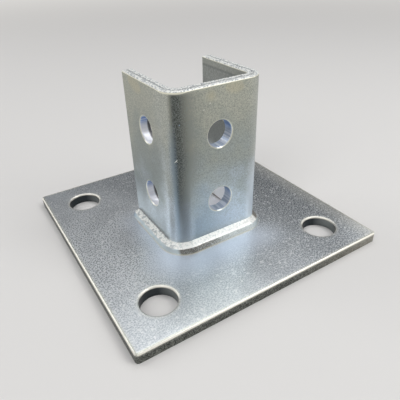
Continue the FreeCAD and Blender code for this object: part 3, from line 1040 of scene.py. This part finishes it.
    def paint_holes(self, skin: StirrupSkin) -> Value:
        """Paints the walls of the bolt holes, with painted reflections, blue above and white below, painted
        shade on the lip inside the flanges, and darker in the lower web hole.

        Args:
            skin: the material that is being written.

        Returns:
            The walls' colour.
        """
        high = skin.add("MapRange", self.high_in_hole.of(skin.up_hole), **EASED)
        streaks = skin.add("TexNoise", self.streak.on(skin.from_hole))
        streaked = skin.add("MapRange", self.streaks.of(streaks))
        # Painted shade on the lip inside the flanges.
        lip = skin.add("MapRange", self.dark_lip.of(skin.from_inside), **EASED)
        flange_hole = skin.paint(
            srgb(self.flange_hole_foot), (high, self.flange_hole_top), (streaked, self.flange_streak),
            (lip, self.lip),
        )
        low_hole = skin.add("MapRange", self.low_hole.of(skin.over_foot))
        web_hole = skin.paint(
            srgb(self.web_hole_foot), (high, self.web_hole_top), (streaked, self.web_streak),
            (low_hole, self.web_low_hole),
        )
        return skin.add("Mix", {0: skin.in_flange, 6: web_hole, 7: flange_hole}, **COAT)

    def lay_rolled_top(self, skin: StirrupSkin) -> Socket:
        """A mask for the top of the outer faces, which the shear has rolled over, where a highlight is
        painted.

        Args:
            skin: the material that is being written.

        Returns:
            The mask.
        """
        width = skin.band(skin.turned, self.bend_middle, self.roll_width)
        share = skin.add("Math", {0: skin.under_top, 1: width}, operation="DIVIDE")
        return skin.add("MapRange", self.rolled.of(share), **EASED)

    def paint_cut(self, skin: StirrupSkin, crags: Socket) -> Value:
        """Paints the sheared top edge.

        Args:
            skin: the material that is being written.
            crags: the pattern of its tears.

        Returns:
            The cut's colour.
        """
        torn = skin.add("MapRange", self.torn.of(crags))
        waviness = skin.add("MapRange", self.waviness.of(crags))
        depth = skin.add("Math", {0: skin.depth, 1: waviness}, operation="ADD")
        in_line = skin.add(
            "Math", {0: depth, 1: self.line_depth, 2: self.line_half_width}, operation="COMPARE",
        )
        line = skin.join(Join.OVERLAP, in_line, self.line_strength)
        return skin.paint(srgb(self.cut_dark), (torn, self.cut_light), (line, self.cut_line))


@dataclass(frozen=True)
class WeldFinish:
    """Arc-welded bead, bright zinc-plated.

    The bead's top is painted bright as a painted highlight and its front darker as painted shade. The top
    has fine grains on the web and lumps on the left flange, with painted shade in the lumps, where a dark
    line of undercut shows at the wall and the free end is blued. The front is painted lighter along the
    web, on the left and at the right end, and past the web's right end brown scale with painted shade
    covers the top.
    """

    seat: float
    name: str = "zinc_plated_arc_weld"

    # Real grains are about 0.2 mm; they are drawn coarser, because finer ones don't show
    grain: Pattern = Pattern(0.4 * MM, layers=2)
    lump: Pattern = Pattern(1.1 * MM, layers=3)
    heap: Pattern = Pattern(2.4 * MM, layers=2)

    # The top: painted bright as a highlight, with painted shade in its lumps and pits, the undercut line,
    # and past the web brown scale with painted shade
    top_painted_highlight: str = "#FFFEF8"
    lump_painted_shade: str = "#DEE2DD"
    pit_painted_shade: str = "#A3AAAC"
    undercut: str = "#5C6062"
    scale: str = "#5F5B54"
    dull: Ramp = Ramp(0.52, 0.38, last=0.9)
    pits: Ramp = Ramp(0.52, 0.38, last=0.7)
    on_left: Ramp = Ramp(-27 * MM, -29 * MM)
    undercut_place: float = -28.5 * MM
    undercut_half_width: float = 0.4 * MM
    undercut_run: Ramp = Ramp(-20 * MM, -17 * MM, last=0.7)
    past_web: Ramp = Ramp(24 * MM, 26 * MM, last=0.9)

    # The front: painted shade round the left bend, and painted light along the web, on the left and at the
    # right end
    front_painted_shade: str = "#6C6A64"
    front_painted_light: str = "#D2D9D8"
    side: str = "#C6D2D6"
    toe: str = "#E2DBC4"
    free_end: str = "#8FA5BF"
    along_web: Ramp = Ramp(-19 * MM, 12 * MM)
    speckles: Ramp = Ramp(0.35, 0.65, first=-0.45, last=0.55)
    right_end: Ramp = Ramp(17 * MM, 23 * MM, last=0.6)
    at_toe: Ramp = Ramp(0.5 * MM, 0.2 * MM, last=0.45)
    at_free_end: Ramp = Ramp(14 * MM, 21 * MM, last=0.7)
    steep: Ramp = Ramp(0.78, 0.58)

    # The top shines more on the web than on the left, and the scale is rough
    top_metallic: Ramp = Ramp(0, 1, first=0.35, last=0.05)
    front_metallic: float = 0.6
    roughness: Ramp = Ramp(0, 1, first=0.38, last=0.85)
    relief: float = 0.03 * MM

    def build(self) -> bpy.types.Material:
        """Builds the material.

        Returns:
            The finished material.
        """
        skin = ZincSkin(self.name)
        grains = skin.add("TexNoise", self.grain.on(skin.place))
        on_left = skin.add("MapRange", self.on_left.of(skin.x), **EASED)
        steep = skin.add("MapRange", self.steep.of(skin.facing_up), **EASED)
        flat = skin.add("Math", {0: 1.0, 1: steep}, operation="SUBTRACT")
        past_web = skin.add("MapRange", self.past_web.of(skin.x), **EASED)
        scaled_and_shaded = skin.join(Join.OVERLAP, past_web, flat)
        top, front = self.paint_top(skin, on_left), self.paint_front(skin, grains, on_left)
        # The top is painted bright as a highlight and the front dark as shade.
        colour = skin.add("Mix", {0: steep, 6: top, 7: front}, **COAT)
        # Past the web's right end the top is painted dark: brown scale with painted shade.
        colour = skin.paint(colour, (scaled_and_shaded, self.scale))
        top_metallic = skin.add("MapRange", self.top_metallic.of(on_left))
        metallic = skin.add("MapRange", {0: steep, 3: top_metallic, 4: self.front_metallic})
        roughness = skin.add("MapRange", self.roughness.of(scaled_and_shaded))
        height = skin.add("Math", {0: grains, 1: self.relief}, operation="MULTIPLY")
        return skin.finish(colour, roughness, height, metallic)

    def paint_top(self, skin: ZincSkin, on_left: Socket) -> Value:
        """Paints the bead's top, with its painted highlight and the painted shade of its lumps and pits.

        Args:
            skin: the material that is being written.
            on_left: the mask of the run along the left flange.

        Returns:
            The top's colour.
        """
        lumps = skin.add("TexNoise", self.lump.on(skin.place))
        dull = skin.add("MapRange", self.dull.of(lumps))
        heaps = skin.add("TexNoise", self.heap.on(skin.place))
        pits = skin.join(Join.OVERLAP, skin.add("MapRange", self.pits.of(heaps), **EASED), on_left)
        at_wall = skin.add(
            "Math", {0: skin.x, 1: self.undercut_place, 2: self.undercut_half_width}, operation="COMPARE",
        )
        undercut = skin.join(Join.OVERLAP, at_wall, skin.add("MapRange", self.undercut_run.of(skin.y)))
        # Painted shade in the lumps and pits.
        return skin.paint(
            srgb(self.top_painted_highlight), (dull, self.lump_painted_shade), (pits, self.pit_painted_shade), (undercut, self.undercut),
        )

    def paint_front(self, skin: ZincSkin, grains: Socket, on_left: Socket) -> Value:
        """Paints the bead's front, down to the plate, with painted shade and painted light.

        Args:
            skin: the material that is being written.
            grains: the pattern of the speckles.
            on_left: the mask of the run along the left flange.

        Returns:
            The front's colour.
        """
        along = skin.add("MapRange", self.along_web.of(skin.x), **EASED)
        speckles = skin.add("MapRange", self.speckles.of(grains))
        lighter = skin.add("Math", {0: along, 1: speckles}, operation="ADD", use_clamp=True)
        right_end = skin.add("MapRange", self.right_end.of(skin.x), **EASED)
        over_seat = skin.add("Math", {0: skin.z, 1: self.seat}, operation="SUBTRACT")
        at_toe = skin.add("MapRange", self.at_toe.of(over_seat))
        at_end = skin.add("MapRange", self.at_free_end.of(skin.y), **EASED)
        return skin.paint(
            srgb(self.front_painted_shade), (lighter, self.front_painted_light), (on_left, self.side), (right_end, self.side),
            (at_toe, self.toe), (skin.join(Join.OVERLAP, at_end, on_left), self.free_end),
        )


@dataclass(frozen=True)
class FloorFinish:
    """Matte painted board, pale and even, so that it only shows the part's shadow.

    Far from the part it shows its own plain tone wherever it is seen or mirrored, so that the backdrop is
    as pale as the floor without more light on the part.
    """

    name: str = "pale_matte_floor"
    tone: str = "#DAD8D5"
    roughness: float = 0.85
    far: Ramp = Ramp(0.3, 1.6)

    def build(self) -> bpy.types.Material:
        """Builds the material.

        Returns:
            The finished material.
        """
        shader = ShaderTree(bpy.data.materials.new(self.name))
        board = shader.add("BsdfPrincipled", {"Base Color": srgb(self.tone), "Roughness": self.roughness})
        plain = shader.add("Emission", {"Color": srgb(self.tone), "Strength": 1.0})
        place = shader.add("TexCoord", {}, "Object")
        from_part = shader.add("VectorMath", {0: place}, "Value", operation="LENGTH")
        far = shader.add("MapRange", self.far.of(from_part), **EASED)
        share = shader.join(Join.OVERLAP, far, shader.shown())
        surface = shader.add("MixShader", {0: share, 1: board, 2: plain})
        shader.add("OutputMaterial", {"Surface": surface})
        return shader.owner


# Two places this near are one, and a point on a line may lie this share of it past its ends
SAME_PLACE = 0.02 * MM
SLACK = 0.01


def near(point: Vector, place: Vector) -> bool:
    """True where a point lies at a place."""
    return (point - place).length < SAME_PLACE


def between(point: Vector, start: Vector, end: Vector) -> bool:
    """Tells whether a point lies on the line between two places.

    Args:
        point: the point.
        start: one place.
        end: the other place.

    Returns:
        True where it does, and at both of the places.
    """
    along = end - start
    share = (point - start).dot(along) / along.length_squared
    return -SLACK < share < 1 + SLACK and near(point, start + along * share)


def select_points(piece: bpy.types.Object, wanted: Callable[[Vector], bool]) -> None:
    """Selects the points of a mesh that is being edited, and what lies wholly between them.

    Args:
        piece: the object, in edit mode.
        wanted: tells from its place whether a point is selected.
    """
    mesh = bmesh.from_edit_mesh(piece.data)
    for part in (*mesh.faces, *mesh.edges):
        part.select = False
    for point in mesh.verts:
        point.select = wanted(point.co)
    mesh.select_flush(True)
    bmesh.update_edit_mesh(piece.data)


@dataclass(frozen=True)
class Unevenness:
    """What is beaten into the bead's face: the size of its forms, and from pit to peak, in metres."""

    name: str
    size: float
    depth: float


@dataclass
class WeldRun:
    """The fillet weld, laid from flange to flange round the outside of the stirrup.

    Its section stands on the plate at the left flange's free end and is carried along the wall in short
    steps, swelling and shrinking a little as the welder's hand did. Sizes are a leg, out over the plate,
    and a rise, up the wall.
    """

    wall_box: Box
    bead_box: Box
    bend_radius: float
    left_rise: float = 3.6 * MM
    right_rise: float = 3.2 * MM

    # The section: its crest, as shares of leg and rise, and how deep its root is sunk into wall and plate
    crest_out: float = 0.72
    crest_up: float = 0.68
    crest_round: float = 0.55 * MM
    crest_segments: int = 3
    cuts_to_wall: int = 5
    cuts_to_plate: int = 2
    root: float = 0.3 * MM

    # The hand: the length of a step, and how far and over what length the section wavers
    stride: float = 0.55 * MM
    waver: float = 0.03
    waver_length: float = 1.1 * MM

    # The face, which is smoother on the web and on the right than on the left flange
    unevenness: tuple[Unevenness, ...] = (
        Unevenness("lumps", 1.9 * MM, 0.5 * MM),
        Unevenness("pits", 0.8 * MM, 0.16 * MM),
    )
    smoother: float = 0.3
    same_point: float = 0.005 * MM

    # Where the work stands: the way gone, the size of the last whole stretch and that of the last section
    travelled: float = 0.0
    steady: tuple[float, float] = (0.0, 0.0)
    drawn: tuple[float, float] = (0.0, 0.0)

    @property
    def seat(self) -> float:
        """Height of the plate's top, which the bead lies on."""
        return self.bead_box[0].z

    @property
    def left_size(self) -> tuple[float, float]:
        """Leg and rise on the left flange."""
        return self.wall_box[0].x - self.bead_box[0].x, self.left_rise

    @property
    def web_size(self) -> tuple[float, float]:
        """Leg and rise on the web."""
        return self.wall_box[0].y - self.bead_box[0].y, self.bead_box[1].z - self.seat

    @property
    def right_size(self) -> tuple[float, float]:
        """Leg and rise on the right flange."""
        return self.bead_box[1].x - self.wall_box[1].x, self.right_rise

    def build(self) -> bpy.types.Object:
        """Models the bead.

        Returns:
            The bead's object.
        """
        bpy.ops.object.select_all(action="DESELECT")
        leg, rise = self.left_size
        foot = Vector((self.wall_box[0].x, self.bead_box[1].y - leg, self.seat))
        middle = foot + Vector((0, leg / 2, rise / 2))
        bpy.ops.mesh.primitive_plane_add(size=1.0, location=middle, rotation=(QUARTER_TURN, 0, QUARTER_TURN))
        piece = bpy.context.object
        piece.name = "weld_run"
        piece.scale = (leg, rise, 1.0)
        bpy.ops.object.transform_apply(location=True, rotation=True, scale=True)
        bpy.ops.object.mode_set(mode="EDIT")
        self.shape_section(piece, foot)
        self.carry_along(foot)
        bpy.ops.mesh.select_all(action="SELECT")
        bpy.ops.mesh.remove_doubles(threshold=self.same_point)
        bpy.ops.mesh.normals_make_consistent(inside=False)
        bpy.ops.object.mode_set(mode="OBJECT")
        self.roughen(piece)
        bpy.ops.object.shade_smooth()
        LOG.info("%s laid with %d faces", piece.name, len(piece.data.polygons))
        return piece

    def dress(self, piece: bpy.types.Object) -> None:
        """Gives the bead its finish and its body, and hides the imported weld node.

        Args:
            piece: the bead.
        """
        piece.data.materials.append(WeldFinish(seat=self.seat).build())
        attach(piece, "root")
        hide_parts(Node.WELD.value)

    def shape_section(self, piece: bpy.types.Object, foot: Vector) -> None:
        """Turns the upright rectangle into the bead's section, sunk a little into wall and plate.

        Args:
            piece: the object, in edit mode.
            foot: where wall and plate meet.
        """
        leg, rise = self.left_size
        toe = foot + Vector((0, leg, 0))
        brow = foot + Vector((0, 0, rise))
        shoulder = brow + Vector((0, leg, 0))
        crest = foot + Vector((0, self.crest_out * leg, self.crest_up * rise))
        sunk_foot = foot - Vector((0, self.root, self.root))
        sunk_toe = toe - Vector((0, 0, self.root))
        sunk_brow = brow - Vector((0, self.root, -self.root / 3))
        for corner, place in ((shoulder, crest), (foot, sunk_foot), (toe, sunk_toe), (brow, sunk_brow)):
            select_points(piece, lambda point: near(point, corner))
            bpy.ops.transform.translate(value=place - corner)
        select_points(piece, lambda point: near(point, crest))
        bpy.ops.mesh.bevel(offset=self.crest_round, segments=self.crest_segments, affect="VERTICES")
        for end, cuts in ((sunk_brow, self.cuts_to_wall), (sunk_toe, self.cuts_to_plate)):
            select_points(piece, lambda point: between(point, end, crest))
            bpy.ops.mesh.subdivide(number_cuts=cuts)
        bpy.ops.mesh.select_all(action="SELECT")

    def carry_along(self, foot: Vector) -> None:
        """Carries the section round the free end, along each side, round each bend and to the far end.

        Args:
            foot: where wall and plate meet in the first section.
        """
        low, high = self.wall_box
        left, front, right = low.x, low.y, high.x
        bent = front + self.bend_radius
        left_end = foot.xy
        right_end = Vector((right, self.bead_box[1].y - self.right_size[0]))
        left_axis = Vector((left + self.bend_radius, bent))
        right_axis = Vector((right - self.bend_radius, bent))
        self.steady = self.drawn = self.left_size
        self.turn(left_end, left_end, self.left_size)
        self.run(left_end, Vector((left, bent)), self.left_size)
        self.turn(Vector((left, bent)), left_axis, self.web_size)
        self.run(Vector((left_axis.x, front)), Vector((right_axis.x, front)), self.web_size)
        self.turn(Vector((right_axis.x, front)), right_axis, self.right_size)
        self.run(Vector((right, bent)), right_end, self.right_size)
        self.turn(right_end, right_end, self.right_size)

    def run(self, start: Vector, end: Vector, size: tuple[float, float]) -> None:
        """Carries the section straight along a side.

        Args:
            start: where the wall's line starts, in plan.
            end: where it ends.
            size: leg and rise at the end.
        """
        steps = round((end - start).length / self.stride)
        stride = (end - start) / steps
        for step in range(1, steps + 1):
            bpy.ops.mesh.extrude_region_move(TRANSFORM_OT_translate={"value": (*stride, 0.0)})
            self.swell(start + stride * step, stride.length, size, step / steps)
        self.steady = size

    def turn(self, start: Vector, axis: Vector, size: tuple[float, float]) -> None:
        """Carries the section a quarter turn round an upright axis, in steps of up to two strides.

        Args:
            start: where the wall's line starts, in plan.
            axis: the axis's place in plan.
            size: leg and rise at the end.
        """
        reach = (start - axis).length + self.steady[0]
        steps = round(reach * QUARTER_TURN / (2 * self.stride))
        angle = QUARTER_TURN / steps
        for step in range(1, steps + 1):
            bpy.ops.mesh.spin(steps=1, angle=angle, center=(*axis, self.seat), axis=(0, 0, -1))
            place = axis + Matrix.Rotation(angle * step, 2) @ (start - axis)
            self.swell(place, angle * reach, size, step / steps)
        self.steady = size

    def swell(self, foot: Vector, travel: float, size: tuple[float, float], share: float) -> None:
        """Scales the section about its foot, towards a new size and with the hand's waver.

        Args:
            foot: where the section stands on the wall, in plan.
            travel: how far the section has just gone.
            size: leg and rise at the end of this stretch.
            share: how much of the stretch is done.
        """
        self.travelled += travel
        ripple = 1 + self.waver * noise.noise(Vector((self.travelled / self.waver_length, 0, 0)))
        eased = share * share * (3 - 2 * share)
        leg, rise = ((old + (new - old) * eased) * ripple for old, new in zip(self.steady, size))
        out = leg / self.drawn[0]
        bpy.ops.transform.resize(value=(out, out, rise / self.drawn[1]), center_override=(*foot, self.seat))
        self.drawn = (leg, rise)

    def roughen(self, piece: bpy.types.Object) -> None:
        """Beats lumps and pits into the bead's face, most on the left flange.

        Args:
            piece: the bead.
        """
        low, high = self.wall_box
        face = piece.vertex_groups.new(name="face")
        for vertex in piece.data.vertices:
            place = vertex.co
            buried = place.z < self.seat + self.root or (low.x < place.x < high.x and place.y > low.y)
            if not buried:
                face.add([vertex.index], 1.0 if place.x < low.x else self.smoother, "REPLACE")
        for form in self.unevenness:
            pattern = bpy.data.textures.new(form.name, "CLOUDS")
            pattern.noise_scale = form.size
            pattern.noise_depth = 1
            beaten = piece.modifiers.new(form.name, "DISPLACE")
            beaten.texture = pattern
            beaten.texture_coords = "LOCAL"
            beaten.vertex_group = face.name
            beaten.strength = form.depth
            bpy.ops.object.modifier_apply(modifier=form.name)


@dataclass(frozen=True)
class PhotoCamera:
    """The photograph's viewpoint, found from the part's own edges."""

    eye: Place = (-0.108805, -0.185475, 0.151760)
    target: Place = (-0.004511, -0.014101, 0.024756)
    roll_degrees: float = -1.7864
    focal_pixels: float = 411.633
    frame_pixels: float = 400.0
    film_width: float = 36.0
    nearest: float = 10 * MM

    def place(self) -> bpy.types.Object:
        """Makes the camera and points it.

        Returns:
            The camera.
        """
        data = bpy.data.cameras.new("photo_camera")
        data.sensor_width = self.film_width
        data.lens = self.film_width * self.focal_pixels / self.frame_pixels
        data.clip_start = self.nearest
        camera = bpy.data.objects.new("photo_camera", data)
        bpy.context.scene.collection.objects.link(camera)
        back = (Vector(self.eye) - Vector(self.target)).normalized()
        right = Vector((0, 0, 1)).cross(back).normalized()
        level = Matrix((right, back.cross(right), back)).transposed()
        turn = level @ Matrix.Rotation(math.radians(self.roll_degrees), 3, "Z")
        camera.matrix_world = Matrix.Translation(self.eye) @ turn.to_4x4()
        return camera


@dataclass(frozen=True)
class SoftBox:
    """A square lamp that is aimed at the part."""

    name: str
    place: Place
    side: float
    power: float
    aim: Place = (0, 0, 0.03)

    def hang(self) -> None:
        """Makes the lamp."""
        data = bpy.data.lights.new(self.name, "AREA")
        data.shape = "SQUARE"
        data.size = self.side
        data.energy = self.power
        lamp = bpy.data.objects.new(self.name, data)
        bpy.context.scene.collection.objects.link(lamp)
        lamp.location = self.place
        lamp.rotation_euler = (Vector(self.aim) - lamp.location).to_track_quat("-Z", "Y").to_euler()


@dataclass(frozen=True)
class Studio:
    """A pale floor, pale walls and a soft overhead light with a dark gap between them, and five lamps.

    Polished metal mirrors the gap, which keeps it from looking as pale as the room. The ramps go by the
    height at which one looks, from 0 at the horizon to 1 overhead. The walls show their full tone wherever
    they are seen or mirrored, and light the part with less.
    """

    overhead: Ramp = Ramp(0.50, 0.74, first=0.02, last=0.61)
    walls: Ramp = Ramp(0.32, 0.16)
    wall_level: Ramp = Ramp(0, 1, first=0.7, last=1.0)
    sky_tone: str = "#F8FAFF"
    floor_side: float = 30.0
    floor_drop: float = 0.1 * MM
    lamps: tuple[SoftBox, ...] = (
        SoftBox("top_softbox", (0.28, 0.30, 1.12), 0.50, 2.2),
        SoftBox("right_softbox", (0.56, -0.40, 0.98), 0.40, 3.0),
        SoftBox("front_softbox", (0.62, -0.78, 0.56), 0.60, 2.8),
        SoftBox("left_softbox", (-0.66, 0.80, 0.64), 0.60, 2.7),
        SoftBox("near_softbox", (-0.90, -0.50, 0.90), 0.60, 4.4),
    )

    def build(self) -> None:
        """Makes the floor, the sky and the lamps."""
        bpy.ops.mesh.primitive_plane_add(size=self.floor_side, location=(0, 0, -self.floor_drop))
        floor = bpy.context.object
        floor.name = "studio_floor"
        floor.data.materials.append(FloorFinish().build())
        self.light_sky()
        for lamp in self.lamps:
            lamp.hang()

    def light_sky(self) -> None:
        """Makes the world: the overhead light, the gap and the walls."""
        world = bpy.data.worlds.new("studio_sky")
        bpy.context.scene.world = world
        sky = ShaderTree(world)
        direction = sky.add("TexCoord", {}, "Generated")
        height = sky.add("SeparateXYZ", {0: direction}, 2)
        overhead = sky.add("MapRange", self.overhead.of(height), **EASED)
        at_walls = sky.add("MapRange", self.walls.of(height), **EASED)
        wall_level = sky.add("MapRange", self.wall_level.of(sky.shown()))
        above = sky.add("Background", {"Color": srgb(self.sky_tone), "Strength": overhead})
        walls = sky.add("Background", {"Color": srgb(FloorFinish.tone), "Strength": wall_level})
        light = sky.add("MixShader", {0: at_walls, 1: above, 2: walls})
        sky.add("OutputWorld", {"Surface": light})


def main() -> None:
    """Sets the studio, dresses the plate and the stirrup, and lays the weld."""
    logging.basicConfig(level=logging.INFO, format="%(message)s")
    bpy.context.scene.view_settings.view_transform = "Standard"
    bpy.context.scene.camera = PhotoCamera().place()
    Studio().build()

    mounts = {mount["name"]: mount for mount in frame["record"]["mounts"]}
    anchors = mounts["anchor_bolts"]["dims"]
    bolts = mounts["left_flange_bolts"]
    _, bolt_y, bolt_z = bolts["pos_m"]
    half_pitch = bolts["dims"]["spacing_y_mm"] * MM / 2

    plate = AnchorPlate(
        half_side=Node.PLATE.box[1].x,
        hole_reach=anchors["spacing_x_mm"] * MM / 2,
        hole_radius=anchors["hole_r_mm"] * MM,
    )
    plate.dress(Node.WELD.box)
    stirrup = StrutStirrup(
        box=Node.STIRRUP.box,
        hole_radius=bolts["dims"]["hole_r_mm"] * MM,
        hole_heights=(bolt_z - half_pitch, bolt_z + half_pitch),
        flange_hole_y=bolt_y,
    )
    stirrup.dress()
    weld = WeldRun(wall_box=stirrup.box, bead_box=Node.WELD.box, bend_radius=stirrup.bend_radius)
    weld.dress(weld.build())


if __name__ == "__main__":
    main()
